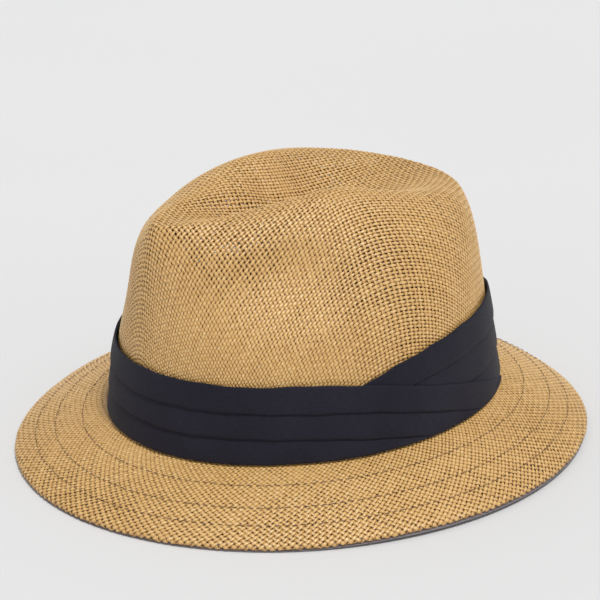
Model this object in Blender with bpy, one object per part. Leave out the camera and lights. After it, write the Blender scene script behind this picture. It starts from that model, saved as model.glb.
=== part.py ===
"""Woven straw fedora: one object per piece. Metres, +Z up, front of the hat towards -Y, wearer's left +X."""

import math

import bpy
import numpy as np

for old in list(bpy.data.objects):
    bpy.data.objects.remove(old, do_unlink=True)

MM = 0.001
SEGMENTS = 72

# Head oval: half axes of the crown's outer face where it meets the brim, and how much wider the back is.
OVAL_X = 87.5
OVAL_Y = 103.0
OVAL_EGG = 0.035

# Levels, above the surface that the hat rests on.
JOIN_Z = 24.5
TILT = 0.031
HEM_TALL = 2.75
LIP_THIN = 0.45
LIP_THICK = 1.15
SIDE_LIFT = 1.4

# Brim.
BRIM_WIDTH = 49.5
BRIM_FRONT_EXTRA = 1.0
BRIM_BOW = 0.45
STRAW = 1.1
LINING = 0.8
GAP = 0.3
WIRE_RADIUS = 0.45
STITCH_SHARES = (0.31, 0.585, 0.785)
STITCH_RADIUS = 0.3

# Crown: the crest is the closed ridge line round the centre dent.
CREST_AT = (0.0, 25.0, 50.0, 90.0, 130.0, 155.0, 180.0)
CREST_R = (88.4, 51.6, 40.7, 33.2, 50.2, 65.8, 78.0)
# Each triple is a mean, a front-to-back share and a sides share: mean + front * cos(a) + sides * cos(2a).
CREST_Z = (109.1, 6.0, -6.2)
SHOULDER = (0.98, 0.41, -0.35)
RISE = (0.327, 0.052, -0.203)
TAPER = (0.129, -0.025, -0.01)
DENT_DEPTH = 17.0
# Each finger pinch: angle, height, depth, and how far it spreads round and up.
PINCHES = ((50.0, 86.0, 14.0, 24.0, 21.0), (-41.0, 73.5, 7.6, 19.0, 24.0))
SIDE_STEPS = 13
TOP_STEPS = 5

# Cloth band.
BAND_T0 = 2.3
BAND_T1 = 3.2
BAND_LOW = 0.6
BAND_TALL = 39.5
PLEATS = 3
PLEAT_STEP = 0.45
CROSS_FROM = 74.0
CROSS_TO = 140.0
CROSS_SLOPE = 0.58
# Height of the rear wrap's upper edge, by angle.
WRAP_AT = (74.0, 87.0, 99.0, 113.0, 132.0, 152.0, 170.0, 186.0)
WRAP_TOP = (34.0, 40.5, 44.6, 47.0, 48.5, 46.5, 41.5, 39.5)

# Inside.
SWEAT_T0 = -3.2
SWEAT_T1 = -2.2
SWEAT_TALL = 32.0
SWEAT_LOW = -0.6
REED_RADIUS = 1.0


def material(name, colour, rough):
    made = bpy.data.materials.new(name)
    made.use_nodes = True
    shader = made.node_tree.nodes["Principled BSDF"]
    shader.inputs["Base Color"].default_value = (*colour, 1.0)
    shader.inputs["Roughness"].default_value = rough
    return made


def signed_volume(points, faces):
    total = 0.0
    for face in faces:
        a = np.array(points[face[0]])
        for k in range(1, len(face) - 1):
            total += float(np.dot(a, np.cross(points[face[k]], points[face[k + 1]])))
    return total


def finish(name, points, faces, colour, rough):
    if signed_volume(points, faces) < 0.0:
        faces = [face[::-1] for face in faces]
    mesh = bpy.data.meshes.new(name)
    # The head oval is moved back so that the origin is in the middle of the brim's length.
    at_origin = [(p[0] * MM, (p[1] + BRIM_FRONT_EXTRA) * MM, p[2] * MM) for p in points]
    mesh.from_pydata([tuple(float(v) for v in p) for p in at_origin], [], faces)
    mesh.materials.append(material(name, colour, rough))
    mesh.polygons.foreach_set("use_smooth", [True] * len(mesh.polygons))
    mesh.set_sharp_from_angle(angle=math.radians(40.0))
    mesh.update()
    made = bpy.data.objects.new(name, mesh)
    bpy.context.scene.collection.objects.link(made)
    return made


def oval(angle):
    """The head oval and its outward normal; the angle runs from the front to the wearer's left."""
    s = math.sin(angle)
    c = math.cos(angle)
    x = OVAL_X * s * (1.0 - OVAL_EGG * c)
    y = -OVAL_Y * c
    dx = OVAL_X * (c - OVAL_EGG * (c * c - s * s))
    dy = OVAL_Y * s
    size = math.hypot(dx, dy)
    return x, y, dy / size, -dx / size


def at(angle, t, z):
    """A point t outside the head oval and z above the tilted plane where crown and brim meet."""
    x, y, nx, ny = oval(angle)
    return x + nx * t, y + ny * t, JOIN_Z + TILT * y + z


def ring(name, section, colour, rough, start=0.0, stop=360.0, steps=SEGMENTS):
    """Sweeps section(angle) -> [(x, y, z)] round the oval; closed when it runs all the way round."""
    whole = abs(stop - start) > 359.9
    count = steps if whole else steps + 1
    rows = []
    for i in range(count):
        rows.append(section(math.radians(start + (stop - start) * i / steps)))
    n = len(rows[0])
    points = [p for row in rows for p in row]
    faces = []
    for i in range(steps):
        j = (i + 1) % count
        for k in range(n):
            m = (k + 1) % n
            faces.append((i * n + k, i * n + m, j * n + m, j * n + k))
    if not whole:
        faces.append(tuple(range(n - 1, -1, -1)))
        faces.append(tuple((count - 1) * n + k for k in range(n)))
    return finish(name, points, faces, colour, rough)


def round_section(centre, radius, sides):
    """A circle of this radius round the (t, z) centre, in the plane across the ring."""

    def made(angle):
        t, z = centre(angle)
        return [
            at(
                angle,
                t + radius * math.cos(2.0 * math.pi * k / sides),
                z + radius * math.sin(2.0 * math.pi * k / sides),
            )
            for k in range(sides)
        ]

    return made


def crest_radius(angle):
    """Smooth, symmetrical interpolation of CREST_R over the angle."""
    degrees = abs((math.degrees(angle) + 180.0) % 360.0 - 180.0)
    at_ = list(CREST_AT)
    r = list(CREST_R)
    at_ = [-at_[1]] + at_ + [360.0 - at_[-2]]
    r = [r[1]] + r + [r[-2]]
    for i in range(1, len(at_) - 2):
        if at_[i] <= degrees <= at_[i + 1]:
            h = at_[i + 1] - at_[i]
            u = (degrees - at_[i]) / h
            m0 = (r[i + 1] - r[i - 1]) / (at_[i + 1] - at_[i - 1]) * h
            m1 = (r[i + 2] - r[i]) / (at_[i + 2] - at_[i]) * h
            if i == 1:
                m0 = 0.0
            if i == len(at_) - 3:
                m1 = 0.0
            a = 2.0 * u**3 - 3.0 * u**2 + 1.0
            b = u**3 - 2.0 * u**2 + u
            c = -2.0 * u**3 + 3.0 * u**2
            d = u**3 - u**2
            return a * r[i] + b * m0 + c * r[i + 1] + d * m1
    return r[-2]


def wave(triple, angle):
    return triple[0] + triple[1] * math.cos(angle) + triple[2] * math.cos(2.0 * angle)


def crown_point(angle, s):
    """The crown's outer face. s runs 0 at the brim, 1 at the crest, 2 at the middle of the dent."""
    x0, y0, _, _ = oval(angle)
    base = math.hypot(x0, y0)
    dx = x0 / base
    dy = y0 / base
    crest = crest_radius(angle)
    crest_z = wave(CREST_Z, angle)
    if s <= 1.0:
        up = math.sin(s * math.pi / 2.0)
        fall = max(1.0 - up ** (2.0 / max(wave(RISE, angle), 0.25)), 0.0)
        out = fall ** (max(wave(SHOULDER, angle), 0.3) / 2.0)
        r = crest + (base - crest) * out
        r -= base * wave(TAPER, angle) * up * out
        z = crest_z * up
    else:
        rho = 2.0 - s
        r = crest * rho
        floor = CREST_Z[0] - DENT_DEPTH
        z = floor + (crest_z - floor) * rho * rho * (3.0 - 2.0 * rho)
    signed = (math.degrees(angle) + 180.0) % 360.0 - 180.0
    fade = min(max(1.0 - 3.0 * (s - 1.0), 0.0), 1.0)
    for middle, height, depth, spread, tall in PINCHES:
        r -= depth * fade * math.exp(-(((signed - middle) / spread) ** 2) - ((z - height) / tall) ** 2)
    x = r * dx
    y = r * dy
    return np.array((x, y, JOIN_Z + TILT * y + z))


def crown_normal(angle, s):
    h = 0.004
    s0 = max(s - h, 0.0)
    s1 = min(s + h, 1.985)
    up = crown_point(angle, s1) - crown_point(angle, s0)
    round_ = crown_point(angle + h, s) - crown_point(angle - h, s)
    n = np.cross(round_, up)
    return n / np.linalg.norm(n)


def crown_levels():
    side = [i / SIDE_STEPS for i in range(SIDE_STEPS + 1)]
    top = [1.0 + (i / TOP_STEPS) for i in range(1, TOP_STEPS)]
    return side + top


def crown_shell():
    levels = crown_levels()
    points = []
    for inner in (False, True):
        for s in levels:
            for i in range(SEGMENTS):
                angle = 2.0 * math.pi * i / SEGMENTS
                p = crown_point(angle, s)
                if inner:
                    n = crown_normal(angle, s)
                    if s <= 0.0:
                        n[2] = 0.0
                        n /= np.linalg.norm(n)
                    p = p - n * STRAW
                if s <= 0.0:
                    p[2] += GAP
                points.append(p)
        pole = crown_point(0.0, 2.0)
        if inner:
            pole = pole - np.array((0.0, 0.0, STRAW))
        points.append(pole)
    rows = len(levels)
    half = rows * SEGMENTS + 1
    faces = []
    for side in (0, 1):
        for k in range(rows - 1):
            for i in range(SEGMENTS):
                j = (i + 1) % SEGMENTS
                a = side * half + k * SEGMENTS + i
                b = side * half + k * SEGMENTS + j
                quad = (a, b, b + SEGMENTS, a + SEGMENTS)
                faces.append(quad if side == 0 else quad[::-1])
        for i in range(SEGMENTS):
            j = (i + 1) % SEGMENTS
            a = side * half + (rows - 1) * SEGMENTS + i
            b = side * half + (rows - 1) * SEGMENTS + j
            tri = (a, b, side * half + rows * SEGMENTS)
            faces.append(tri if side == 0 else tri[::-1])
    for i in range(SEGMENTS):
        j = (i + 1) % SEGMENTS
        faces.append((i, half + i, half + j, j))
    return finish("crown_shell", points, faces, (0.55, 0.36, 0.16), 0.7)


def brim_width(angle):
    return BRIM_WIDTH + BRIM_FRONT_EXTRA * math.cos(angle)


def turned(angle):
    """Degrees round from the front, 0 to 180, the same on both sides."""
    return abs((math.degrees(angle) + 180.0) % 360.0 - 180.0)


def smooth(low, high, value):
    u = min(max((value - low) / (high - low), 0.0), 1.0)
    return u * u * (3.0 - 2.0 * u)


def lip(angle):
    """How much of the edge binding shows below the straw."""
    d = turned(angle)
    return LIP_THIN + (LIP_THICK - LIP_THIN) * smooth(58.0, 82.0, d) * (1.0 - smooth(148.0, 172.0, d))


def floor_z(angle):
    """The binding's lower face rests on the surface at the front and rear; the sides stand a little off it."""
    d = turned(angle)
    return SIDE_LIFT * smooth(45.0, 80.0, d) * (1.0 - smooth(125.0, 165.0, d))


def edge_z(angle):
    return HEM_TALL + lip(angle) + floor_z(angle)


def brim_top(angle, t):
    """Height of the brim's upper face, measured like the z of at()."""
    _, y, _, _ = oval(angle)
    u = max(t / brim_width(angle), 0.0)
    drop = u + BRIM_BOW * (u * u - u)
    return (edge_z(angle) - JOIN_Z - TILT * y) * drop


BRIM_T = (-STRAW, 0.6, 12.0, 26.0, 44.0)


def brim_straw(angle):
    """The straw runs out to the edge and turns under round the wire."""
    width = brim_width(angle)
    scale = (width - 4.2) / 44.0
    upper = []
    lower = []
    for t in BRIM_T:
        tt = t if t <= 0.6 else 0.6 + (t - 0.6) * scale
        z = brim_top(angle, tt)
        upper.append(at(angle, tt, z))
        lower.append(at(angle, tt, z - STRAW))
    hem = []
    for t, dz in ((-1.2, 0.0), (-0.3, -0.4), (0.0, -1.2), (-0.4, -2.4), (-1.1, -2.0)):
        hem.append(at(angle, width + t, brim_top(angle, width + t) + dz))
    for t, dz in ((-1.1, -STRAW), (-2.6, -STRAW)):
        hem.append(at(angle, width + t, brim_top(angle, width + t) + dz))
    return upper + hem + lower[::-1]


def brim_lining(angle):
    width = brim_width(angle)
    scale = (width - 8.5) / 43.4
    upper = []
    lower = []
    for t in (-STRAW, 0.6, 12.0, 26.0, 44.0):
        tt = t if t <= 0.6 else 0.6 + (t - 0.6) * scale
        z = brim_top(angle, tt) - STRAW - GAP
        upper.append(at(angle, tt, z))
        lower.append(at(angle, tt, z - LINING))
    return upper + lower[::-1]


def edge_binding(angle):
    """Folded cloth tape under the edge; its lower face is the flat ring that the hat rests on."""
    width = brim_width(angle)
    low = floor_z(angle)
    x, y, nx, ny = oval(angle)

    def flat(t, z):
        return (x + nx * t, y + ny * t, z)

    def under(t, dz):
        return at(angle, width + t, brim_top(angle, width + t) - STRAW - dz)

    return [
        under(-7.0, GAP),
        under(-2.75, GAP),
        under(-2.75, 1.7),
        under(-0.25, 1.75),
        flat(width - 0.5, low),
        flat(width - 3.6, low),
        under(-7.0, 1.3),
    ]


def edge_wire(angle):
    t = brim_width(angle) - 1.9
    z = brim_top(angle, t) - STRAW - 0.75
    return round_section(lambda _: (t, z), WIRE_RADIUS, 5)(angle)


def stitch(share):
    def made(angle):
        t = brim_width(angle) * share
        z = brim_top(angle, t) + STITCH_RADIUS + 0.06
        return round_section(lambda _: (t, z), STITCH_RADIUS, 3)(angle)

    return made


def pleat_line(degrees, k):
    """Height of the k-th fold line; where the two ends cross, the folds slant down to the lower edge."""
    height = BAND_LOW + (BAND_TALL - BAND_LOW) * k / PLEATS
    slant = CROSS_SLOPE * max(degrees - CROSS_FROM, 0.0)
    floor = BAND_LOW + 0.35 * k
    return max(height - slant, floor)


def crown_t(angle, z):
    """How far the crown's outer face stands out from the head oval at height z."""
    lo = 0.0
    hi = 0.9
    for _ in range(24):
        mid = (lo + hi) / 2.0
        p = crown_point(angle, mid)
        if p[2] - JOIN_Z - TILT * p[1] < z:
            lo = mid
        else:
            hi = mid
    p = crown_point(angle, lo)
    x, y, nx, ny = oval(angle)
    return (p[0] - x) * nx + (p[1] - y) * ny


def band_front(angle):
    degrees = math.degrees(angle)
    outer = []
    inner = []
    for k in range(PLEATS):
        low = pleat_line(degrees, k)
        tall = pleat_line(degrees, k + 1)
        for share, out in ((0.0, 0.0), (0.12, 1.0), (0.9, 0.5)):
            h = low + (tall - low) * share
            outer.append(at(angle, crown_t(angle, h) + BAND_T1 + PLEAT_STEP * (out - 1.0), h))
    tall = pleat_line(degrees, PLEATS)
    outer.append(at(angle, crown_t(angle, tall) + BAND_T1 - 0.3, tall))
    for k in range(4):
        h = tall + (BAND_LOW - tall) * k / 3.0
        inner.append(at(angle, crown_t(angle, h) + BAND_T0, h))
    return outer + inner


def band_wrap(angle):
    degrees = math.degrees(angle)
    tall = float(np.interp(degrees, WRAP_AT, WRAP_TOP))
    low = BAND_LOW + 0.4
    outer = []
    inner = []
    levels = [low + (tall - low) * k / 5.0 for k in range(6)]
    for h in levels:
        outer.append(at(angle, crown_t(angle, h) + BAND_T0 - GAP, h))
    for h in levels[::-1]:
        inner.append(at(angle, crown_t(angle, h) + 1.25, h))
    return outer + inner


def band_backing(angle):
    low = BAND_LOW + 0.9
    tall = BAND_TALL - 5.0
    section = []
    levels = (low, (low + tall) / 2.0, tall)
    for h in levels:
        section.append(at(angle, crown_t(angle, h) + 0.95, h))
    for h in levels[::-1]:
        section.append(at(angle, crown_t(angle, h) + 0.5, h))
    return section


def sweat_lean(angle, z):
    """The sweatband stands straight, from the seam to its top edge."""
    return crown_t(angle, SWEAT_TALL) * max(z, 0.0) / SWEAT_TALL


def sweatband(angle):
    section = []
    for t, levels in ((SWEAT_T1, (SWEAT_LOW, SWEAT_TALL)), (SWEAT_T0, (SWEAT_TALL, SWEAT_LOW))):
        for z in levels:
            section.append(at(angle, t + sweat_lean(angle, z), z))
    return section


def reed(angle):
    return round_section(lambda _: (SWEAT_T0 + 0.5, SWEAT_LOW - 0.3 - REED_RADIUS), REED_RADIUS, 6)(angle)


def sweat_stitching(angle):
    return round_section(lambda a: (SWEAT_T0 - 0.4 + sweat_lean(a, 2.5), 2.5), 0.28, 3)(angle)


def seam_tape(angle):
    """Narrow tape over the joint of crown and brim, behind the sweatband."""
    section = []
    for t, levels in ((-STRAW - 0.25, (0.8, 9.0)), (-STRAW - 0.65, (9.0, 0.8))):
        for z in levels:
            section.append(at(angle, t + crown_t(angle, z), z))
    return section


def patch(name, middle, wide, z0, z1, thick, colour, rough):
    """A small flat piece sewn on the sweatband's inner face."""

    def section(angle):
        near = SWEAT_T0 - 0.3
        far = near - thick
        return [
            at(angle, near + sweat_lean(angle, z0), z0),
            at(angle, near + sweat_lean(angle, z1), z1),
            at(angle, far + sweat_lean(angle, z1), z1),
            at(angle, far + sweat_lean(angle, z0), z0),
        ]

    return ring(name, section, colour, rough, middle - wide / 2.0, middle + wide / 2.0, 3)


def tack(name, middle):
    """A stitch of thread that holds the band, where it comes through on the inside of the crown."""
    z0 = 34.5
    z1 = 37.5

    def section(angle):
        section_ = []
        for t, levels in ((-STRAW - 0.35, (z0, z1)), (-STRAW - 0.95, (z1, z0))):
            for z in levels:
                section_.append(at(angle, t + crown_t(angle, z), z))
        return section_

    return ring(name, section, THREAD, 0.8, middle - 0.4, middle + 0.4, 1)


STRAW_COLOUR = (0.55, 0.36, 0.16)
NAVY = (0.022, 0.022, 0.034)
GREY = (0.22, 0.19, 0.2)
THREAD = (0.18, 0.1, 0.07)
CREAM = (0.72, 0.68, 0.6)

crown_shell()
ring("brim_straw", brim_straw, STRAW_COLOUR, 0.7)
ring("brim_lining", brim_lining, GREY, 0.9)
ring("brim_edge_binding", edge_binding, GREY, 0.9)
ring("brim_edge_wire", edge_wire, (0.6, 0.6, 0.6), 0.35)
ring("brim_stitch_inner", stitch(STITCH_SHARES[0]), THREAD, 0.8)
ring("brim_stitch_middle", stitch(STITCH_SHARES[1]), THREAD, 0.8)
ring("brim_stitch_outer", stitch(STITCH_SHARES[2]), THREAD, 0.8)
ring("band_front", band_front, NAVY, 0.85, -174.0, CROSS_TO, 63)
ring("band_wrap", band_wrap, NAVY, 0.85, CROSS_FROM, 186.0, 23)
ring("band_backing_tape", band_backing, NAVY, 0.9)
ring("sweatband", sweatband, NAVY, 0.85)
ring("sweatband_reed", reed, NAVY, 0.8)
ring("sweatband_stitching", sweat_stitching, THREAD, 0.8)
ring("seam_tape", seam_tape, CREAM, 0.9)
patch("sweatband_joint_tape", 180.0, 9.0, 4.0, 30.0, 0.6, NAVY, 0.85)
patch("size_label", 157.0, 9.0, 5.0, 15.0, 0.5, CREAM, 0.8)
patch("care_label", -154.0, 15.0, 4.5, 25.0, 0.5, CREAM, 0.8)
tack("band_tack_front", 0.0)
tack("band_tack_left", 90.0)
tack("band_tack_rear", 172.0)
tack("band_tack_right", -90.0)
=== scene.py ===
"""Looks of the woven straw fedora: yarns, pleated cloth band, lining, sewing, camera and light.

Shapes are worked out in millimetres in the CAD's frame: +Z up, the front of the hat towards -Y and the
wearer's left towards +X. An angle is 0 at the front and 90 degrees at the wearer's left.
"""

import math

import bpy
import numpy as np
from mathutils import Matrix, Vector


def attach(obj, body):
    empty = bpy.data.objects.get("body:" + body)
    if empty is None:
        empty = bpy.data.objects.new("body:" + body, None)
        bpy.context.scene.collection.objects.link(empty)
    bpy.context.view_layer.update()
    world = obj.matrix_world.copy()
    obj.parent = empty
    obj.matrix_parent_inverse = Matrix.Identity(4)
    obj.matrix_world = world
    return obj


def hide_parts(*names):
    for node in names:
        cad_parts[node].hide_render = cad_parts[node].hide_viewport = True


MM = 0.001
SEED = 58

# ---------------------------------------------------------------- sizes repeated from the CAD source, mm
# The head oval: half its width and half its length, and how much narrower it is at the front.
OVAL_X = 87.5
OVAL_Y = 103.0
OVAL_EGG = 0.035
# Where crown and brim meet: its height in the middle, and its rise towards the rear.
JOIN_Z = 24.5
TILT = 0.031
# The brim's edge: height of the hem, how much of the binding shows below it at the ends and at the sides,
# and how far the sides are lifted.
HEM_TALL = 2.75
LIP_THIN = 0.45
LIP_THICK = 1.15
SIDE_LIFT = 1.4
BRIM_WIDTH = 49.5
BRIM_FRONT_EXTRA = 1.0
BRIM_BOW = 0.45
STRAW = 1.1
STITCH_SHARES = (0.31, 0.585, 0.785)
# The ridge round the top: distance from the middle at these angles from the front.
CREST_AT = (0.0, 25.0, 50.0, 90.0, 130.0, 155.0, 180.0)
CREST_R = (88.4, 51.6, 40.7, 33.2, 50.2, 65.8, 78.0)
# Its height, and how the side of the crown bends up to it, as triples for wave().
CREST_Z = (109.1, 6.0, -6.2)
SHOULDER = (0.98, 0.41, -0.35)
RISE = (0.327, 0.052, -0.203)
TAPER = (0.129, -0.025, -0.01)
DENT_DEPTH = 17.0
# Each finger pinch: angle, height, depth, and how far it spreads round and up.
PINCHES = ((50.0, 86.0, 14.0, 24.0, 21.0), (-41.0, 73.5, 7.6, 19.0, 24.0))
BAND_LOW = 0.6
BAND_TALL = 39.5
PLEATS = 3
# The front band runs round the front; past CROSS_FROM its folds slant down over the wrapped end.
FRONT_SPAN = (-174.0, 140.0)
CROSS_FROM = 74.0
CROSS_BLEND = 10.0
CROSS_SLOPE = 0.58
# Upper edge of the wrapped end: heights at these angles.
WRAP_AT = (74.0, 87.0, 99.0, 113.0, 132.0, 152.0, 170.0, 186.0)
WRAP_TOP = (34.0, 40.5, 44.6, 47.0, 48.5, 46.5, 41.5, 39.5)
WRAP_SPAN = (WRAP_AT[0], WRAP_AT[-1])
SWEAT_T = -2.7
SWEAT_TALL = 32.0
SWEAT_LOW = -0.6
REED_HOLE = 1.3

# ---------------------------------------------------------------- cloth and thread, mm and degrees
AROUND = (0.0, 360.0)
STEPS = 180
BINDING_STEPS = 240
FRONT_STEPS = 314
WRAP_STEPS = 112
THIN = 0.3
THICK = 0.35
LABEL_THICK = 0.25
# Patches on the sweatband: where they start and stop round the hat, steps between, and their heights.
JOINT_TAPE = ((175.5, 184.5), 8, (4.0, 30.0))
SIZE_LABEL = ((152.5, 161.5), 8, (5.0, 15.0))
CARE_LABEL = ((-161.5, -146.5), 10, (4.5, 25.0))
# Unevenness round the hat: waves in a whole turn, share of the size, and how far each is shifted.
RIPPLES = ((7.0, 1.0, 1.0), (13.0, 0.7, 2.3), (29.0, 0.5, 4.1))
STITCH_RADIUS = 0.17
BRIM_STITCH = (1.3, 3.1)
SWEAT_STITCH = (1.2, 2.6)
STITCH_DIP = np.array((-0.5, -0.12, 0.1, 0.16, 0.17, 0.16, 0.1, -0.12, -0.5))
TACK_RADIUS = 0.2
TACK_LOW = 34.5
TACK_TALL = 3.0
TACKS = (("front", 0.0), ("left", 90.0), ("rear", 172.0), ("right", -90.0))

# ---------------------------------------------------------------- weave
# Yarns that run front to back are finer and closer than the ones that run from side to side.
CROWN_PITCH = (1.8, 2.35)
CROWN_REACH = 196.0
CROWN_BLOCKS = 3
# Each direction of yarns: its name and the full width of a yarn.
CROWN_WAYS = (("warp", 1.4), ("weft", 1.7))
NET_NEAR = 19.0
NET_FAR = 110.0
BIAS_GAIN = 0.168
BIAS_POWER = 1.6
# The brim is a bias strip: its yarns lean both ways at about 45 degrees all the way round.
BRIM_YARNS = (278, 210)
BRIM_LEAN = (46.0, 48.0)
BRIM_MIDDLE = 122.0
BRIM_BLOCKS = 1
BRIM_WAYS = (("left", 1.62), ("right", 1.98))
YARN_HALF = 0.25
YARN_WAVE = 0.32
YARN_LEAST = 0.6
YARN_FILL = 0.93
# Mean share of the full yarn width, and how far it swings between looser and tighter patches.
OPEN_MEAN = 0.965
OPEN_SWING = 0.03
YARN_SECTION = ((-1.0, 0.0), (-0.58, 0.84), (0.58, 0.84), (1.0, 0.0), (0.0, -0.9))
TINY = 1e-9


def unit(vectors):
    """The same directions, each with length 1."""
    return vectors / np.maximum(np.linalg.norm(vectors, axis=-1, keepdims=True), TINY)


def measure(points):
    """Distance along a path at each of its points."""
    return np.concatenate([[0.0], np.cumsum(np.linalg.norm(np.diff(points, axis=0), axis=1))])


# ================================================================ shape of the hat
def oval(angle):
    """The head oval and its outward normal."""
    s, c = np.sin(angle), np.cos(angle)
    x = OVAL_X * s * (1.0 - OVAL_EGG * c)
    y = -OVAL_Y * c
    dx = OVAL_X * (c - OVAL_EGG * (c * c - s * s))
    dy = OVAL_Y * s
    size = np.hypot(dx, dy)
    return x, y, dy / size, -dx / size


def at(angle, t, z):
    """A point t outside the head oval and z above the tilted plane where crown and brim meet."""
    x, y, nx, ny = oval(angle)
    return np.stack([x + nx * t, y + ny * t, JOIN_Z + TILT * y + z], axis=-1)


def turned(angle):
    """Degrees round from the front, 0 to 180, the same on both sides."""
    return np.abs((np.degrees(angle) + 180.0) % 360.0 - 180.0)


def smooth(low, high, value):
    """0 below low, 1 above high, and a soft step between them."""
    u = np.clip((value - low) / (high - low), 0.0, 1.0)
    return u * u * (3.0 - 2.0 * u)


def wave(triple, angle):
    """A mean, plus a part that differs between front and back, plus one for the sides against both."""
    return triple[0] + triple[1] * np.cos(angle) + triple[2] * np.cos(2.0 * angle)


def crest_radius(angle):
    """Smooth, symmetrical interpolation of CREST_R over the angle."""
    degrees = turned(angle)
    where = np.array((-CREST_AT[1], *CREST_AT, 360.0 - CREST_AT[-2]))
    r = np.array((CREST_R[1], *CREST_R, CREST_R[-2]))
    i = np.clip(np.searchsorted(where, degrees, side="right") - 1, 1, len(CREST_AT) - 1)
    gap = where[i + 1] - where[i]
    u = (degrees - where[i]) / gap
    slope = (r[i + 1] - r[i - 1]) / (where[i + 1] - where[i - 1]) * gap
    next_slope = (r[i + 2] - r[i]) / (where[i + 2] - where[i]) * gap
    slope = np.where(i == 1, 0.0, slope)
    next_slope = np.where(i == len(CREST_AT) - 1, 0.0, next_slope)
    near, by_slope = 2.0 * u**3 - 3.0 * u**2 + 1.0, u**3 - 2.0 * u**2 + u
    far, by_next = -2.0 * u**3 + 3.0 * u**2, u**3 - u**2
    return near * r[i] + by_slope * slope + far * r[i + 1] + by_next * next_slope


def crown_point(angle, s):
    """The crown's outer face. s runs 0 at the brim, 1 at the crest, 2 at the middle of the dent."""
    x0, y0, _, _ = oval(angle)
    base = np.hypot(x0, y0)
    crest = crest_radius(angle)
    crest_z = wave(CREST_Z, angle)
    up = np.sin(np.minimum(s, 1.0) * math.pi / 2.0)
    fall = np.maximum(1.0 - up ** (2.0 / np.maximum(wave(RISE, angle), 0.25)), 0.0)
    out = fall ** (np.maximum(wave(SHOULDER, angle), 0.3) / 2.0)
    side_r = crest + (base - crest) * out - base * wave(TAPER, angle) * up * out
    rho = 2.0 - np.maximum(s, 1.0)
    floor = CREST_Z[0] - DENT_DEPTH
    on_side = s <= 1.0
    r = np.where(on_side, side_r, crest * rho)
    z = np.where(on_side, crest_z * up, floor + (crest_z - floor) * rho * rho * (3.0 - 2.0 * rho))
    signed = (np.degrees(angle) + 180.0) % 360.0 - 180.0
    for middle, height, depth, spread, tall in PINCHES:
        pinch = np.exp(-(((signed - middle) / spread) ** 2) - ((z - height) / tall) ** 2)
        r = r - depth * pinch * np.clip(1.0 - 3.0 * (s - 1.0), 0.0, 1.0)
    y = r * y0 / base
    return np.stack([r * x0 / base, y, JOIN_Z + TILT * y + z], axis=-1)


def brim_width(angle):
    """A little more at the front than at the rear."""
    return BRIM_WIDTH + BRIM_FRONT_EXTRA * np.cos(angle)


def floor_z(angle):
    """The edge rests on the surface at the front and rear; the sides stand a little off it."""
    d = turned(angle)
    return SIDE_LIFT * smooth(45.0, 80.0, d) * (1.0 - smooth(125.0, 165.0, d))


def edge_z(angle):
    """Height of the brim's upper face at its edge: the binding shows more at the sides."""
    d = turned(angle)
    lip = LIP_THIN + (LIP_THICK - LIP_THIN) * smooth(58.0, 82.0, d) * (1.0 - smooth(148.0, 172.0, d))
    return HEM_TALL + lip + floor_z(angle)


def brim_top(angle, t):
    """Height of the brim's upper face, measured like the z of at()."""
    _, y, _, _ = oval(angle)
    u = np.maximum(t / brim_width(angle), 0.0)
    drop = u + BRIM_BOW * (u * u - u)
    return (edge_z(angle) - JOIN_Z - TILT * y) * drop


class Skin:
    """A surface tabulated by angle (whole degrees) and distance along its section (steps of step mm)."""

    def __init__(self, sections, step):
        """sections: one array of points along the section for each whole degree, 0 to 360."""
        self.step = step
        self.length = np.array([measure(s)[-1] for s in sections])
        count = int(self.length.max() / step) + 4
        self.points = np.zeros((361, count, 3))
        for i, section in enumerate(sections):
            along = measure(section)
            for k in range(3):
                self.points[i, :, k] = np.interp(np.arange(count) * step, along, section[:, k])
        beyond = np.arange(count)[None, :] * step - self.length[:, None]
        ends = unit(np.array([s[-1] - s[-3] for s in sections]))
        self.points += np.maximum(beyond, 0.0)[:, :, None] * ends[:, None, :]
        along = np.gradient(self.points, axis=1)
        around = np.roll(self.points[:-1], -1, axis=0) - np.roll(self.points[:-1], 1, axis=0)
        around = np.concatenate([around, around[:1]])
        normals = np.cross(along, around)
        normals[:, 0] = normals[:, 2].mean(axis=0)
        normals = unit(normals)
        # The outward side, which at the wearer's left faces left or up.
        if normals[90, count // 2, 0] < 0.0 or normals[90, count // 2, 2] < -0.5:
            normals = -normals
        self.normals = normals

    def look(self, table, angle, distance):
        """Reads a table between its whole degrees and steps."""
        a = np.mod(np.degrees(angle), 360.0)
        i = np.minimum(a.astype(int), 359)
        f = (a - i)[..., None]
        d = np.clip(distance / self.step, 0.0, table.shape[1] - 1.001)
        j = d.astype(int)
        g = (d - j)[..., None]
        near = table[i, j] * (1.0 - g) + table[i, j + 1] * g
        far = table[i + 1, j] * (1.0 - g) + table[i + 1, j + 1] * g
        return near * (1.0 - f) + far * f

    def at(self, angle, distance):
        """Point and outward normal."""
        return self.look(self.points, angle, distance), unit(self.look(self.normals, angle, distance))

    def whole(self, angle):
        """Length of the section at this angle."""
        return np.interp(np.mod(np.degrees(angle), 360.0), np.arange(361), self.length)


def crown_skin():
    """Middle of the straw's thickness, from the middle of the dent out and down to the brim."""
    s = np.linspace(2.0, 0.0, 260)
    sections = []
    for degree in range(361):
        angle = np.full(s.shape, math.radians(degree))
        p = crown_point(angle, s)
        side = crown_point(angle + 0.01, s) - crown_point(angle - 0.01, s)
        n = np.cross(np.gradient(p, axis=0), side)
        n[0] = n[1]
        n = unit(n) * np.sign(n[2, 2])
        sections.append(p - n * STRAW / 2.0)
    return Skin(sections, 1.0)


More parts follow.
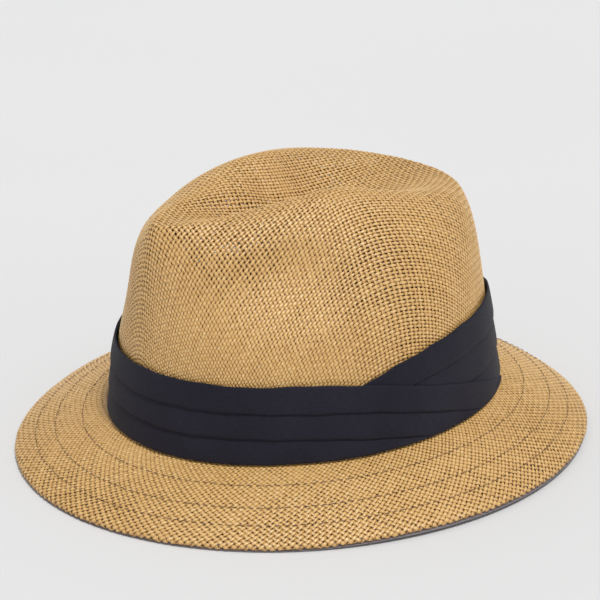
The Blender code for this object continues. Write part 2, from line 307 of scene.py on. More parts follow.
# The straw's edge rolls down and under: distance from the edge and depth below the upper face.
ROLL = (
    (-2.2, 0.0),
    (-1.45, -0.1),
    (-0.85, -0.45),
    (-0.55, -0.95),
    (-0.6, -1.4),
    (-1.0, -1.75),
    (-1.7, -1.85),
)


def brim_skin():
    """Middle of the straw's thickness, from under the crown out to the edge and round it."""
    flat_steps = 60
    roll = np.array(ROLL)
    drop = np.concatenate([np.zeros(flat_steps), roll[:, 1]])
    sections = []
    for degree in range(361):
        angle = math.radians(degree)
        width = float(brim_width(angle))
        t = np.concatenate([np.linspace(-1.1, width - 3.0, flat_steps), width + roll[:, 0]])
        base = brim_top(np.full(t.shape, angle), np.minimum(t, width))
        sections.append(at(np.full(t.shape, angle), t, base - STRAW / 2.0 + drop))
    return Skin(sections, 0.5)


# ================================================================ meshes
def tidy_mesh(name, points, quads, caps=(), attributes=()):
    """A mesh from points in mm, quads and n-sided caps; unused points are dropped."""
    quads = np.asarray(quads, dtype=np.int64).reshape(-1, 4)
    caps = [np.asarray(c, dtype=np.int64) for c in caps if len(c)]
    used = np.unique(np.concatenate([quads.ravel()] + [c.ravel() for c in caps]))
    remap = np.zeros(len(points), dtype=np.int64)
    remap[used] = np.arange(len(used))
    loops = np.concatenate([remap[quads].ravel()] + [remap[c].ravel() for c in caps])
    sizes = np.concatenate([np.full(len(quads), 4)] + [np.full(len(c), c.shape[1]) for c in caps])
    starts = np.concatenate([[0], np.cumsum(sizes)[:-1]])
    placed = (points[used] + np.array((0.0, BRIM_FRONT_EXTRA, 0.0))) * MM
    mesh = bpy.data.meshes.new(name)
    mesh.vertices.add(len(used))
    mesh.vertices.foreach_set("co", placed.astype(np.float32).ravel())
    mesh.loops.add(len(loops))
    mesh.loops.foreach_set("vertex_index", loops.astype(np.int32))
    mesh.polygons.add(len(sizes))
    mesh.polygons.foreach_set("loop_start", starts.astype(np.int32))
    mesh.polygons.foreach_set("use_smooth", np.ones(len(sizes), dtype=bool))
    mesh.update(calc_edges=True)
    for key, values in attributes:
        kind, field = ("FLOAT_VECTOR", "vector") if values.ndim == 2 else ("FLOAT", "value")
        layer = mesh.attributes.new(key, kind, "POINT")
        layer.data.foreach_set(field, values[used].astype(np.float32).ravel())
    made = bpy.data.objects.new(name, mesh)
    bpy.context.scene.collection.objects.link(made)
    return made


def coat(made, material):
    """Gives a mesh its one material."""
    made.data.materials.clear()
    made.data.materials.append(material)


def piece(made, material, slot, node):
    """Gives a piece its material and its body, and hides the CAD node that it stands for; slot is not used.
    """
    coat(made, material)
    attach(made, "root")
    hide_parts(node)
    return made


# ================================================================ weave
def net(x, y):
    """Turns cloth coordinates, in mm from the middle of the crown, into an angle and a distance.

    Near the middle the cloth lies square. Beyond it, the cloth is sheared: rows stay square to the
    front, back and sides and run on the bias between them, as in a hood pressed over a block.
    """
    ax, ay = np.abs(x), np.abs(y)
    flat = np.hypot(ax, ay)
    w = smooth(NET_NEAR, NET_FAR, flat)
    distance = flat * (1.0 + BIAS_GAIN * w * np.abs(np.sin(2.0 * np.arctan2(ax, ay))) ** BIAS_POWER)
    square = np.arctan2(ax * OVAL_Y, ay * OVAL_X)
    sheared = (math.pi / 2.0) * ax / (ax + ay + TINY)
    a = square * (1.0 - w) + sheared * w
    a = np.where(y < 0.0, math.pi - a, a)
    return np.where(x < 0.0, -a, a), distance


def crown_net(skin):
    """Finds the crossings of the crown: angle, distance from its middle, and whether it is on the crown."""

    def locate(u, v):
        angle, distance = net(u * CROWN_PITCH[0], v * CROWN_PITCH[1])
        return angle, distance, distance < skin.whole(angle) - 0.2

    return locate


def brim_net(skin):
    """Finds the crossings of the brim, whose yarns of both directions lean away from straight out."""
    lean = [math.tan(math.radians(b)) / BRIM_MIDDLE for b in BRIM_LEAN]

    def locate(u, v):
        distance = 2.0 * math.pi * (u / BRIM_YARNS[0] - v / BRIM_YARNS[1]) / sum(lean)
        angle = 2.0 * math.pi * u / BRIM_YARNS[0] - lean[0] * distance
        return angle, distance, (distance > -0.05) & (distance < skin.whole(angle) - 0.1)

    return locate


def crown_lanes(first):
    """Numbers of the yarns of one direction, where each starts, and the crossings that it passes."""
    own, other = CROWN_PITCH if first else CROWN_PITCH[::-1]
    lanes = int(CROWN_REACH / own)
    crossings = int(CROWN_REACH / other)
    index = np.arange(-lanes, lanes + 1)
    return index, np.zeros(len(index)), np.arange(-2 * crossings, 2 * crossings + 1) * 0.5


def brim_lanes(first):
    """The same for the brim, whose yarns start at its inner edge all the way round."""
    own, other = BRIM_YARNS if first else BRIM_YARNS[::-1]
    index = np.arange(own)
    width = BRIM_WIDTH + BRIM_FRONT_EXTRA + 9.0
    turn = sum(math.tan(math.radians(b)) for b in BRIM_LEAN) * width / BRIM_MIDDLE / (2.0 * math.pi)
    crossings = np.arange(-2, 2 * int(turn * other) + 3) * 0.5
    return index, np.round(index * other / own), (-crossings if first else crossings)


def wander(rng, run, size):
    """A slow sideways drift for each yarn, in yarns."""
    phase = rng.uniform(0.0, 2.0 * math.pi, (3, len(run), 1))
    slow = np.sin(run / 9.0 + phase[0])
    quick = np.sin(run / 3.7 + phase[1])
    return size * (slow + 0.6 * quick + 0.5 * np.sin(run / 1.6 + phase[2]))


def openness(angle, distance):
    """Share of their full width that the yarns have: the weave is looser in some patches."""
    patch = np.sin(3.0 * angle + 0.6) * np.sin(distance / 15.0 + 1.9)
    spiral = 0.8 * np.sin(7.0 * angle + distance / 11.0)
    return OPEN_MEAN + OPEN_SWING * (patch + spiral)


def yarns(skin, locate, lanes, first, wide, rng):
    """All yarns of one direction: rings of points, which of them to keep, and what the material needs."""
    index, start, steps = lanes
    run = start[:, None] + steps[None, :]
    lane = index[:, None] + wander(rng, run, 0.05)
    u, v = (lane, run) if first else (run, lane)
    angle, distance, keep = locate(u, v)
    p, n = skin.at(angle, distance)
    side = unit(np.cross(n, unit(np.gradient(p, axis=1))))
    apart = np.abs(np.sum(np.gradient(p, axis=0) * side, axis=-1))
    width = np.clip(apart * YARN_FILL, YARN_LEAST, wide) * openness(angle, distance)
    phase = rng.uniform(0.0, 2.0 * math.pi, (2, len(index), 1))
    width = width * (1.0 + 0.05 * np.sin(run / 2.3 + phase[0]) + 0.05 * np.sin(run / 0.9 + phase[1]))
    width = width * (1.0 + 0.06 * rng.standard_normal((len(index), 1)))
    over = np.cos(math.pi * (index[:, None] + run)) * (1.0 if first else -1.0)
    thick = YARN_HALF * (1.0 + 0.08 * rng.standard_normal(over.shape))
    rings = []
    for x, z in YARN_SECTION:
        offset = side * (x * width / 2.0)[..., None] + n * (YARN_WAVE * over + z * thick)[..., None]
        rings.append(p + offset)
    tone = 0.6 * rng.random((len(index), 1)) + (0.4 if first else 0.0)
    return np.stack(rings, axis=2), keep, over, tone, run


def yarn_blocks(name, node, skin, locate, lanes, first, wide, blocks, rng, material):
    """Builds one direction of yarns as a few pieces, each a bundle of neighbouring yarns."""
    rings, keep, over, tone, run = yarns(skin, locate, lanes, first, wide, rng)
    lines, steps, sides, _ = rings.shape
    number = np.arange(lines * steps * sides).reshape(lines, steps, sides)
    points = rings.reshape(-1, 3)
    shade = np.broadcast_to(over[..., None], number.shape).ravel()
    around = np.broadcast_to(np.arange(sides) / sides, number.shape)
    strand = np.stack(
        [
            np.broadcast_to((run * CROWN_PITCH[1 if first else 0])[..., None], number.shape),
            around,
            np.broadcast_to(tone[..., None], number.shape),
        ],
        axis=-1,
    ).reshape(-1, 3)
    joined = keep[:, :-1] & keep[:, 1:]
    weight = np.cumsum(joined.sum(axis=1))
    inner_cuts = [int(np.searchsorted(weight, weight[-1] * k / blocks)) for k in range(1, blocks)]
    cuts = [0, *inner_cuts, lines]
    for b in range(blocks):
        here = np.zeros(joined.shape, dtype=bool)
        here[cuts[b] : cuts[b + 1]] = joined[cuts[b] : cuts[b + 1]]
        i, j = np.nonzero(here)
        quads = []
        for k in range(sides):
            m = (k + 1) % sides
            corners = (number[i, j, k], number[i, j, m], number[i, j + 1, m], number[i, j + 1, k])
            quads.append(np.stack(corners, axis=1))
        before = np.pad(here, ((0, 0), (1, 0)))[:, :-1]
        after = np.pad(here, ((0, 0), (0, 1)))[:, 1:]
        i, j = np.nonzero(here & ~before)
        heads = number[i, j][:, ::-1]
        i, j = np.nonzero(here & ~after)
        tails = number[i, j + 1]
        # lift is the yarn's rise and fall over the crossings; the straw material paints shade from it where
        # the yarn dips.
        looks = (("strand", strand), ("lift", shade))
        block = tidy_mesh(f"{name}_{b + 1}", points, np.concatenate(quads), (heads, tails), looks)
        piece(block, material, "straw", node)


def weave(name, node, skin, locate, lanes, ways, blocks, rng, material):
    """The two directions of yarns of one part."""
    for first, (way, wide) in zip((True, False), ways):
        row = f"{name}_{way}"
        yarn_blocks(row, node, skin, locate(skin), lanes(first), first, wide, blocks, rng, material)


# ================================================================ cloth and thread
def ripple(degrees, size, phase):
    """A gentle unevenness round the hat."""
    a = np.radians(degrees)
    return size * sum(share * np.sin(turns * a + shift * phase) for turns, share, shift in RIPPLES)


def crown_t(degrees, z):
    """How far the crown's outer face stands out from the head oval at height z."""
    s = np.linspace(0.0, 0.9, 60)
    angle = np.full(s.shape, math.radians(degrees))
    p = crown_point(angle, s)
    x, y, nx, ny = oval(angle)
    out = (p[:, 0] - x) * nx + (p[:, 1] - y) * ny
    return np.interp(z, p[:, 2] - JOIN_Z - TILT * p[:, 1], out)


def strip(name, node, section, span, steps, kind):
    """A sheet of cloth round the oval, over a span of degrees, that stands for a CAD node.

    section(degrees) gives its middle line as rows of (t, z); the kind is thickness, material and slot.
    """
    start, stop = span
    thick, material, slot = kind
    whole = span == AROUND
    degrees = start + (stop - start) * np.arange(steps if whole else steps + 1) / steps
    rows, across = [], []
    for d in degrees:
        line = np.array(section(d))
        along = unit(np.gradient(line, axis=0))
        normal = np.stack([-along[:, 1], along[:, 0]], axis=1) * thick / 2.0
        loop = np.concatenate([line + normal, (line - normal)[::-1]])
        rows.append(at(np.full(len(loop), math.radians(d)), loop[:, 0], loop[:, 1]))
        run = measure(line)
        across.append(np.concatenate([run, run[::-1]]))
    points = np.array(rows)
    count, sides, _ = points.shape
    along = np.broadcast_to(measure(points[:, 0])[:, None], (count, sides))
    cloth = np.stack([along, np.array(across), np.zeros((count, sides))], -1)
    number = np.arange(count * sides).reshape(count, sides)
    after = np.roll(number, -1, axis=0) if whole else number[1:]
    before = number if whole else number[:-1]
    quads = np.stack([before, np.roll(before, -1, 1), np.roll(after, -1, 1), after], -1).reshape(-1, 4)
    if not whole:
        half = sides // 2
        k = np.arange(half - 1)
        end = np.stack([k, k + 1, sides - 2 - k, sides - 1 - k], -1)
        quads = np.concatenate([quads, number[0][end[:, ::-1]], number[-1][end]])
    made = tidy_mesh(name, points.reshape(-1, 3), quads, attributes=(("cloth", cloth.reshape(-1, 3)),))
    return piece(made, material, slot, node)


def threads(name, node, paths, normals, radius, kind):
    """Short threads: paths is (count, steps, 3), each a round tube that thins at its ends.

    The kind of thread is its material and slot.
    """
    sides = 6
    tangent = unit(np.gradient(paths, axis=1))
    side = unit(np.cross(normals, tangent))
    top = np.cross(tangent, side)
    count, steps, _ = paths.shape
    swell = radius * np.sin(np.linspace(0.12, 0.88, steps) * math.pi) ** 0.35
    turn = 2.0 * math.pi * np.arange(sides) / sides
    ring = side[:, :, None] * np.cos(turn)[:, None] + top[:, :, None] * np.sin(turn)[:, None]
    points = paths[:, :, None] + ring * swell[None, :, None, None]
    number = np.arange(count * steps * sides).reshape(count, steps, sides)
    a, b = number[:, :-1], number[:, 1:]
    quads = np.stack([a, np.roll(a, -1, 2), np.roll(b, -1, 2), b], -1).reshape(-1, 4)
    caps = (number[:, 0, ::-1].reshape(-1, sides), number[:, -1].reshape(-1, sides))
    return piece(tidy_mesh(name, points.reshape(-1, 3), quads, caps), *kind, node)


def stitch_row(name, node, place, stitch, rng, kind, lift=0.0):
    """A closed row of running stitches, each a gap and a length.

    place(angle) gives a point on the surface and its normal.
    """
    gap, length = stitch
    around = np.radians(np.arange(361))
    path, _ = place(around)
    reach = measure(path)
    count = int(reach[-1] / (gap + length))
    pitch = reach[-1] / count
    first = np.arange(count) * pitch + rng.uniform(-0.25, 0.25, count)
    share = np.linspace(0.0, 1.0, len(STITCH_DIP))
    run = first[:, None] + (length + rng.uniform(-0.3, 0.3, (count, 1))) * share[None, :]
    angle = np.interp(run % reach[-1], reach, around)
    points, normals = place(angle)
    aside = unit(np.cross(normals, np.gradient(points, axis=1)))
    lean = rng.uniform(-0.16, 0.16, (count, 2))
    drift = lean[:, :1] * (1.0 - share) + lean[:, 1:] * share
    points = points + normals * (STITCH_DIP + lift)[None, :, None] + aside * drift[..., None]
    return threads(name, node, points, normals, STITCH_RADIUS, kind)


def brim_place(share):
    """A line on the brim's upper face, this share of the way out."""

    def place(angle):
        t = brim_width(angle) * share
        p = at(angle, t, brim_top(angle, t))
        _, _, nx, ny = oval(angle)
        slope = brim_top(angle, t + 0.5) - brim_top(angle, t - 0.5)
        return p, unit(np.stack([-nx * slope, -ny * slope, np.ones_like(slope)], axis=-1))

    return place


def pleat_line(degrees, k):
    """Height of the k-th fold line; where the two ends cross, the folds slant down to the lower edge."""
    height = BAND_LOW + (BAND_TALL - BAND_LOW) * k / PLEATS
    height += ripple(degrees, 0.22, 0.9 + 1.7 * k)
    slant = CROSS_BLEND * CROSS_SLOPE * math.log1p(math.exp((degrees - CROSS_FROM) / CROSS_BLEND))
    return max(height - slant, BAND_LOW + 0.35 * k)


def pleated(folds):
    """Middle line of a pleated band as (layer, height): each fold hangs over the top of the next one.

    folds are the heights from the upper edge to the lower one; a layer is a distance out from the crown.
    """
    top = folds[0]
    turn_in = min(6.0, 0.4 * (top - folds[-1]))
    line = [(0.0, top - turn_in), (0.02, top - 0.5 * turn_in), (0.08, top - 0.25 * min(turn_in, 1.2))]
    line += [(0.2, top), (0.38, top + 0.08), (0.56, top - 0.1), (0.68, top - 0.2 * turn_in)]
    for k in range(PLEATS):
        high, low = folds[k], folds[k + 1]
        tall = high - low
        under = min(2.8, 0.3 * tall)
        r = min(0.4, 0.1 * tall)
        line += [(0.86, high - 0.25 * tall), (1.05, high - 0.5 * tall), (1.2, high - 0.75 * tall)]
        line += [(1.26, low + 3.0 * r), (1.22, low + r), (1.1, low + 0.2 * r), (0.95, low)]
        line += [(0.8, low + 0.3 * r), (0.74, low + r), (0.66, low + 0.6 * under)]
        if k < PLEATS - 1:
            line += [(0.62, low + under), (0.5, low + under + 0.7 * r), (0.38, low + under)]
            line += [(0.36, low + 0.4 * under), (0.44, low - 0.5 * r)]
            line += [(0.6, low - 0.08 * (low - folds[k + 2]))]
        else:
            line += [(0.6, low + 1.2 * under), (0.56, low + 1.6 * under)]
    return line


def band_front(degrees):
    """The front band; it stands further out where it lies over the wrapped end."""
    folds = [pleat_line(degrees, k) for k in range(PLEATS, -1, -1)]
    base = 1.3 + 1.0 * smooth(56.0, 76.0, degrees) + 0.5 * smooth(98.0, 122.0, degrees)
    depth = 1.3 - 0.55 * smooth(92.0, 125.0, degrees) + ripple(degrees, 0.07, 5.0)
    return [(crown_t(degrees, z) + base + depth * layer, z) for layer, z in pleated(folds)]


def band_wrap(degrees):
    """The other end of the band, which comes round from the rear and goes under the front one."""
    top = float(np.interp(degrees, WRAP_AT, WRAP_TOP))
    low = BAND_LOW + 0.4
    levels = range(PLEATS, -1, -1)
    folds = [low + (top - low) * k / PLEATS + ripple(degrees, 0.25, 0.4 + k) for k in levels]
    depth = 0.72 + 0.58 * smooth(112.0, 134.0, degrees) + ripple(degrees, 0.05, 2.0)
    return [(crown_t(degrees, z) + 1.2 + depth * layer, z) for layer, z in pleated(folds)]


def band_backing(degrees):
    """The plain tape against the crown that the pleats are sewn to."""
    levels = np.linspace(BAND_LOW + 0.9, BAND_TALL - 5.0, 6)
    return [(crown_t(degrees, z) + 0.72, z) for z in levels]


def lining(degrees):
    """The under-brim: it sags a little between the crown and the edge."""
    angle = math.radians(degrees)
    width = brim_width(angle)
    line = []
    for share in np.linspace(0.0, 1.0, 14):
        t = -STRAW + (width - 7.6 + STRAW) * share
        sag = 0.35 * math.sin(math.pi * share) + ripple(degrees, 0.07, 1.0 + 3.0 * share)
        line.append((t, brim_top(angle, t) - STRAW - 0.7 - max(sag, 0.0)))
    return line


def binding(degrees):
    """A cloth tape folded round the underside of the edge; its lowest part is what the hat rests on."""
    angle = math.radians(degrees)
    width = brim_width(angle)

    def under(t, drop):
        return (width + t, float(brim_top(angle, width + t)) - STRAW - drop)

    def flat(t, z):
        return (width + t, float(floor_z(angle)) + z - (JOIN_Z + TILT * oval(angle)[1]))

    outer = under(-1.35, 2.2)[1] - flat(0.0, 0.0)[1]
    return [
        under(-7.0, 0.55),
        under(-5.0, 0.5),
        under(-3.1, 0.55),
        under(-2.85, 1.0),
        under(-2.6, 1.75),
        under(-2.0, 2.05),
        under(-1.35, 2.2),
        flat(-0.95, 0.8 * outer),
        flat(-0.85, 0.5 * outer),
        flat(-1.1, 0.2),
        flat(-1.6, 0.17),
        flat(-3.4, 0.2),
        flat(-4.6, 0.75),
        under(-6.6, 1.5),
        under(-8.9, 1.3),
    ]


def sweat_lean(degrees, z):
    """The sweatband stands straight, from the seam to its top edge."""
    return crown_t(degrees, SWEAT_TALL) * max(z, 0.0) / SWEAT_TALL


def sweatband(degrees):
    """Folded over at its top edge, and round the reed at its lower edge."""
    top = SWEAT_TALL
    line = [(-1.75, top - 7.0), (-1.75, top - 3.0), (-1.8, top - 0.7), (-2.1, top - 0.15)]
    line += [(-2.45, top), (-2.8, top - 0.15), (-3.05, top - 0.8)]
    line += [(-3.1, z) for z in np.linspace(top - 4.0, 2.5, 8)]
    middle = (SWEAT_T + 0.1, SWEAT_LOW - 1.45)
    for turn in np.radians(np.linspace(150.0, 400.0, 11)):
        line.append((middle[0] + REED_HOLE * math.cos(turn), middle[1] + REED_HOLE * math.sin(turn)))
    line += [(-1.75, 1.0), (-1.75, 3.5)]
    wobble = ripple(degrees, 0.06, 3.0)
    return [(t + sweat_lean(degrees, z) + wobble * max(z, 0.0) / SWEAT_TALL, z) for t, z in line]


def seam_tape(degrees):
    """A tape inside the crown over its joint with the brim."""
    return [(crown_t(degrees, z) - STRAW - 0.45, z) for z in np.linspace(0.7, 11.0, 5)]


def label(low, high):
    """A small piece of cloth with its two ends folded under, on the sweatband's inner face."""

    def section(degrees):
        line = [(-3.65, low + 2.0), (-3.65, low + 0.5), (-3.78, low), (-3.95, low + 0.4)]
        line += [(-4.0, z) for z in np.linspace(low + 1.5, high - 1.5, 6)]
        line += [(-3.95, high - 0.4), (-3.78, high), (-3.65, high - 0.5), (-3.65, high - 2.0)]
        return [(t + sweat_lean(degrees, z), z) for t, z in line]

    return section


def patch(name, node, where, kind):
    """A small piece of cloth on the sweatband. where is its span, its steps and its two heights."""
    span, steps, heights = where
    return strip(name, node, label(*heights), span, steps, kind)


def sweat_place(angle):
    """The stitching line on the sweatband's inner face."""
    shape = np.shape(angle)
    flat = np.degrees(np.ravel(angle))
    lean = np.interp(flat, np.arange(361), [sweat_lean(d, 2.5) for d in range(361)])
    a = np.ravel(angle)
    _, _, nx, ny = oval(a)
    p = at(a, -3.3 + lean, np.full(a.shape, 2.5))
    n = np.stack([-nx, -ny, np.zeros_like(nx)], axis=-1)
    return p.reshape(*shape, 3), n.reshape(*shape, 3)


def tack(name, degrees, kind):
    """Three threads that hold the band, where they come through on the inside of the crown."""
    share = np.linspace(0.0, 1.0, 7)
    paths, normals = [], []
    for offset in (-0.3, 0.0, 0.3):
        angle = np.full(7, math.radians(degrees + offset))
        z = TACK_LOW + TACK_TALL * share
        _, _, nx, ny = oval(angle)
        paths.append(at(angle, crown_t(degrees, z) - STRAW - 0.3 - 0.35 * np.sin(math.pi * share), z))
        normals.append(np.stack([-nx, -ny, np.zeros(7)], axis=-1))
    return threads(name, name, np.array(paths), np.array(normals), TACK_RADIUS, kind)


# ================================================================ materials
class Nodes:
    """Short names for building a node material."""

    def __init__(self, name):
        self.material = bpy.data.materials.new(name)
        self.material.use_nodes = True
        self.tree = self.material.node_tree
        self.shader = self.tree.nodes["Principled BSDF"]

    def feed(self, socket, value):
        """Links another node's output to the socket, or sets the socket's own constant."""
        if isinstance(value, bpy.types.NodeSocket):
            self.tree.links.new(value, socket)
        else:
            socket.default_value = value

    def add(self, kind, inputs=(), **settings):
        node = self.tree.nodes.new(kind)
        for key, value in settings.items():
            setattr(node, key, value)
        for key, value in dict(inputs).items():
            self.feed(node.inputs[key], value)
        return node

    def maths(self, operation, *values):
        return self.add("ShaderNodeMath", enumerate(values), operation=operation).outputs[0]

    def attribute(self, name):
        return self.add("ShaderNodeAttribute", attribute_name=name)

    def ramp(self, value, *stops):
        node = self.add("ShaderNodeValToRGB", {"Fac": value})
        while len(node.color_ramp.elements) < len(stops):
            node.color_ramp.elements.new(0.5)
        for element, (place, colour) in zip(node.color_ramp.elements, stops):
            element.position = place
            element.color = (*colour, 1.0)
        return node.outputs["Color"]

    def noise(self, vector, scale, detail=2.0, roughness=0.5):
        inputs = {"Vector": vector, "Scale": scale, "Detail": detail, "Roughness": roughness}
        return self.add("ShaderNodeTexNoise", inputs).outputs["Fac"]

    def stretch(self, vector, x, y, z):
        return self.add("ShaderNodeMapping", {"Vector": vector, "Scale": (x, y, z)}).outputs["Vector"]

    def place(self):
        return self.add("ShaderNodeTexCoord").outputs["Object"]

    def multiply(self, factor, colour, shade):
        """The colour, multiplied by a shade as far as the factor says."""
        node = self.add("ShaderNodeMix", data_type="RGBA", blend_type="MULTIPLY")
        for number, value in ((0, factor), (6, colour), (7, (*shade, 1.0))):
            self.feed(node.inputs[number], value)
        return node.outputs[2]

    def bump(self, height, strength, distance):
        node = self.add("ShaderNodeBump", {"Height": height, "Strength": strength, "Distance": distance})
        self.tree.links.new(node.outputs["Normal"], self.shader.inputs["Normal"])

    def set(self, **values):
        """Fills the shader's sockets and returns the material."""
        for key, value in values.items():
            self.feed(self.shader.inputs[key.replace("_", " ")], value)
        return self.material


def straw_material():
    """Lacquered paper yarn: fibres along it, a little difference between yarns, painted shade where it dips
    under a crossing yarn.
    """
    n = Nodes("straw")
    strand = n.attribute("strand")
    tone = n.add("ShaderNodeSeparateXYZ", {"Vector": strand.outputs["Vector"]}).outputs["Z"]
    lift = n.attribute("lift").outputs["Fac"]
    along = n.noise(n.stretch(strand.outputs["Vector"], 0.5, 0.6, 60.0), 1.0, 3.0)
    patch = n.noise(n.place(), 30.0, 3.0)
    value = n.maths("MULTIPLY_ADD", along, 0.24, n.maths("MULTIPLY", tone, 0.11))
    value = n.maths("ADD", value, n.maths("MULTIPLY_ADD", patch, 0.1, 0.3))
    colour = n.ramp(
        value,
        (0.28, (0.425, 0.205, 0.05)),
        (0.43, (0.665, 0.392, 0.122)),
        (0.57, (0.835, 0.542, 0.2)),
        (0.74, (0.965, 0.785, 0.45)),
    )
    # Painted shade: where the lift attribute says the yarn dips under a crossing yarn, the colour is
    # multiplied towards (0.42, 0.26, 0.14).
    dip = n.maths("MULTIPLY_ADD", lift, 0.5, 0.5)
    colour = n.multiply(n.maths("SUBTRACT", 1.0, dip), colour, (0.42, 0.26, 0.14))
    fibre = n.noise(n.stretch(strand.outputs["Vector"], 1.2, 22.0, 40.0), 1.0, 2.0)
    n.bump(fibre, 0.35, 0.0002)
    rough = n.maths("MULTIPLY_ADD", fibre, 0.22, 0.24)
    return n.set(Base_Color=colour, Roughness=rough, Specular_IOR_Level=0.8)


def cloth_material(name, dark, light, thread, sheen=0.15):
    """Woven cloth from its own (along, across) coordinates in mm; thread is the thread spacing."""
    n = Nodes(name)
    cloth = n.attribute("cloth").outputs["Vector"]
    parts = n.add("ShaderNodeSeparateXYZ", {"Vector": cloth})
    along, across = parts.outputs["X"], parts.outputs["Y"]
    turn = 2.0 * math.pi / thread
    warp = n.maths("SINE", n.maths("MULTIPLY", along, turn))
    weft = n.maths("SINE", n.maths("MULTIPLY", across, turn))
    twill = n.maths("SINE", n.maths("MULTIPLY", n.maths("ADD", along, across), turn / 2.0))
    plain = n.maths("MULTIPLY", n.maths("ADD", warp, weft), 0.3)
    weave = n.maths("ADD", plain, n.maths("MULTIPLY", twill, 0.4))
    slub = n.noise(n.stretch(cloth, 0.35, 1.3, 1.0), 1.0, 4.0, 0.65)
    cloud = n.noise(n.place(), 22.0, 3.0)
    value = n.maths("MULTIPLY_ADD", slub, 0.5, n.maths("MULTIPLY", cloud, 0.5))
    value = n.maths("ADD", value, n.maths("MULTIPLY", weave, 0.06))
    colour = n.ramp(value, (0.3, dark), (0.72, light))
    height = n.maths("ADD", n.maths("MULTIPLY", weave, 0.5), n.maths("MULTIPLY", slub, 0.8))
    n.bump(height, 0.7, 0.00015)
    return n.set(
        Base_Color=colour,
        Roughness=0.85,
        Sheen_Weight=sheen,
        Sheen_Roughness=0.4,
        Specular_IOR_Level=0.25,
    )


def thread_material(name, dark, light):
    """Twisted sewing thread."""
    n = Nodes(name)
    twist = n.add("ShaderNodeTexWave", {"Vector": n.place(), "Scale": 900.0, "Distortion": 2.0})
    colour = n.ramp(twist.outputs["Fac"], (0.2, dark), (0.8, light))
    n.bump(twist.outputs["Fac"], 0.4, 0.0001)
    return n.set(Base_Color=colour, Roughness=0.6)


def nylon_material():
    """Clear-drawn nylon of the edge wire, with faint draw lines."""
    n = Nodes("spring_wire")
    lines = n.noise(n.place(), 700.0, 2.0)
    colour = n.ramp(lines, (0.3, (0.5, 0.5, 0.47)), (0.7, (0.62, 0.62, 0.6)))
    return n.set(Base_Color=colour, Roughness=0.35)


# ================================================================ camera, floor and light
CAMERA_AZIMUTH = 53.4
CAMERA_ELEVATION = 24.76
CAMERA_DISTANCE = 1.3
CAMERA_LENS = 150.54
CAMERA_SHIFT = (-0.0068, 0.21)
SENSOR = 36.0
# The key light: azimuth, elevation and apparent width in degrees, then strength.
KEY = (88.0, 67.0, 10.0, 1.88)
FLOOR_HALF = 6.0
# Light from the sky: height of the direction, 0 at the horizon and 1 straight up, and the light there.
SKY = ((0.2, 0.807), (0.5, 0.52))


def towards(azimuth, elevation):
    """Direction from the hat, 0 azimuth at its front and 90 at its wearer's left."""
    a, e = math.radians(azimuth), math.radians(elevation)
    return Vector((math.sin(a) * math.cos(e), -math.cos(a) * math.cos(e), math.sin(e)))


def make_camera():
    """The camera at the photograph's angle."""
    data = bpy.data.cameras.new("camera")
    data.sensor_width = SENSOR
    data.lens = CAMERA_LENS
    data.shift_x, data.shift_y = CAMERA_SHIFT
    made = bpy.data.objects.new("camera", data)
    bpy.context.scene.collection.objects.link(made)
    back = towards(CAMERA_AZIMUTH, CAMERA_ELEVATION)
    made.location = Vector((0.0, BRIM_FRONT_EXTRA * MM, 0.0)) + back * CAMERA_DISTANCE
    made.rotation_mode = "QUATERNION"
    made.rotation_quaternion = back.to_track_quat("Z", "Y")
    bpy.context.scene.camera = made


def sun(name, azimuth, elevation, width, strength):
    """A light from far away; width is how wide it looks in the sky, in degrees."""
    data = bpy.data.lights.new(name, "SUN")
    data.angle = math.radians(width)
    data.energy = strength
    made = bpy.data.objects.new(name, data)
    bpy.context.scene.collection.objects.link(made)
    made.rotation_mode = "QUATERNION"
    made.rotation_quaternion = towards(azimuth, elevation).to_track_quat("Z", "Y")


def make_world():
    """Even light all round, brighter near the horizon."""
    world = bpy.data.worlds.new("studio")
    world.use_nodes = True
    tree = world.node_tree
    direction = tree.nodes.new("ShaderNodeSeparateXYZ")
    tree.links.new(tree.nodes.new("ShaderNodeTexCoord").outputs["Generated"], direction.inputs["Vector"])
    sky = tree.nodes.new("ShaderNodeValToRGB")
    for element, (height, light) in zip(sky.color_ramp.elements, SKY):
        element.position = height
        element.color = (light, light, light, 1.0)
    tree.links.new(direction.outputs["Z"], sky.inputs["Fac"])
    tree.links.new(sky.outputs["Color"], tree.nodes["Background"].inputs["Color"])
    bpy.context.scene.world = world


def make_floor():
    """A plain pale floor under the hat, which isn't part of it."""
    n = Nodes("floor")
    grain = n.noise(n.place(), 3.0, 2.0)
    colour = n.ramp(grain, (0.3, (0.73, 0.73, 0.733)), (0.7, (0.74, 0.74, 0.743)))
    material = n.set(Base_Color=colour, Roughness=0.9, Specular_IOR_Level=0.1)
    mesh = bpy.data.meshes.new("floor")
    corners = [(x * FLOOR_HALF, y * FLOOR_HALF, 0) for x, y in ((-1, -1), (1, -1), (1, 1), (-1, 1))]
    mesh.from_pydata(corners, [], [(0, 1, 2, 3)])
    mesh.materials.append(material)
    floor = bpy.data.objects.new("floor", mesh)
    bpy.context.scene.collection.objects.link(floor)


# ================================================================ the hat
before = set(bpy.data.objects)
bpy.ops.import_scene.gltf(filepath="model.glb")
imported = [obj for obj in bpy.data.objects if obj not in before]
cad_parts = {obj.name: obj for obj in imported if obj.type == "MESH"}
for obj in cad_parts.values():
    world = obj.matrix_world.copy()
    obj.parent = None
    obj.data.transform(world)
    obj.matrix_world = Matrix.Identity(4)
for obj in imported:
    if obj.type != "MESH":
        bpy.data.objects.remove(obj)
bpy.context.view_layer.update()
bpy.context.scene.view_settings.view_transform = "Standard"
make_camera()
make_world()
sun("key", *KEY)
make_floor()

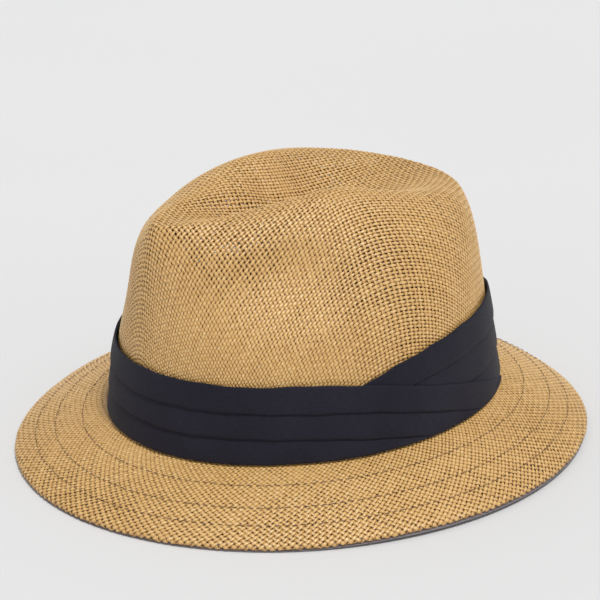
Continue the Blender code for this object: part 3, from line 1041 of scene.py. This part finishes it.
rng = np.random.default_rng(SEED)
straw = straw_material()
navy = cloth_material("navy_cloth", (0.0055, 0.0053, 0.0108), (0.0195, 0.0187, 0.0325), 0.55, 0.07)
dark_cotton = cloth_material("dark_cotton", (0.012, 0.012, 0.017), (0.028, 0.028, 0.038), 0.6)
grey_cloth = cloth_material("grey_cloth", (0.17, 0.145, 0.156), (0.285, 0.25, 0.26), 0.55)
cream_cloth = cloth_material("cream_cloth", (0.5, 0.46, 0.38), (0.72, 0.68, 0.6), 0.45)
# Kinds of thread: material and slot.
brown_thread = (thread_material("brown_thread", (0.11, 0.055, 0.035), (0.22, 0.125, 0.08)), "thread")
dark_thread = (thread_material("black_thread", (0.008, 0.008, 0.012), (0.03, 0.03, 0.04)), "dark_thread")

weave("crown", "crown_shell", crown_skin(), crown_net, crown_lanes, CROWN_WAYS, CROWN_BLOCKS, rng, straw)
weave("brim", "brim_straw", brim_skin(), brim_net, brim_lanes, BRIM_WAYS, BRIM_BLOCKS, rng, straw)
for row, share in zip(("inner", "middle", "outer"), STITCH_SHARES):
    name = f"brim_stitch_{row}"
    stitch_row(name, name, brim_place(share), BRIM_STITCH, rng, brown_thread, lift=0.14)

# Kinds of cloth: thickness, material and slot.
band_cloth = (THIN, navy, "band_cloth")
band_tape = (THIN, navy, "tape")
dark_tape = (THIN, dark_cotton, "tape")
brim_cloth = (THICK, grey_cloth, "brim_cloth")
sweat_cloth = (THICK, dark_cotton, "sweatband_cloth")
label_cloth = (LABEL_THICK, cream_cloth, "label")

front = strip("band_front_cloth", "band_front", band_front, FRONT_SPAN, FRONT_STEPS, band_cloth)
wrap = strip("band_wrap_cloth", "band_wrap", band_wrap, WRAP_SPAN, WRAP_STEPS, band_cloth)
backing = strip("band_backing_cloth", "band_backing_tape", band_backing, AROUND, STEPS, band_tape)
under = strip("brim_lining_cloth", "brim_lining", lining, AROUND, STEPS, brim_cloth)
edge = strip("edge_binding_cloth", "brim_edge_binding", binding, AROUND, BINDING_STEPS, brim_cloth)
sweat = strip("sweatband_cloth", "sweatband", sweatband, AROUND, STEPS, sweat_cloth)
stitch_row("sweat_stitches", "sweatband_stitching", sweat_place, SWEAT_STITCH, rng, dark_thread)
seam = strip("seam_tape_cloth", "seam_tape", seam_tape, AROUND, STEPS, dark_tape)
joint = patch("joint_tape_cloth", "sweatband_joint_tape", JOINT_TAPE, dark_tape)
size = patch("size_label_cloth", "size_label", SIZE_LABEL, label_cloth)
care = patch("care_label_cloth", "care_label", CARE_LABEL, label_cloth)
for side, degrees in TACKS:
    tack(f"band_tack_{side}", degrees, dark_thread)
nylon = nylon_material()
for name in ("brim_edge_wire", "sweatband_reed"):
    coat(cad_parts[name], nylon)
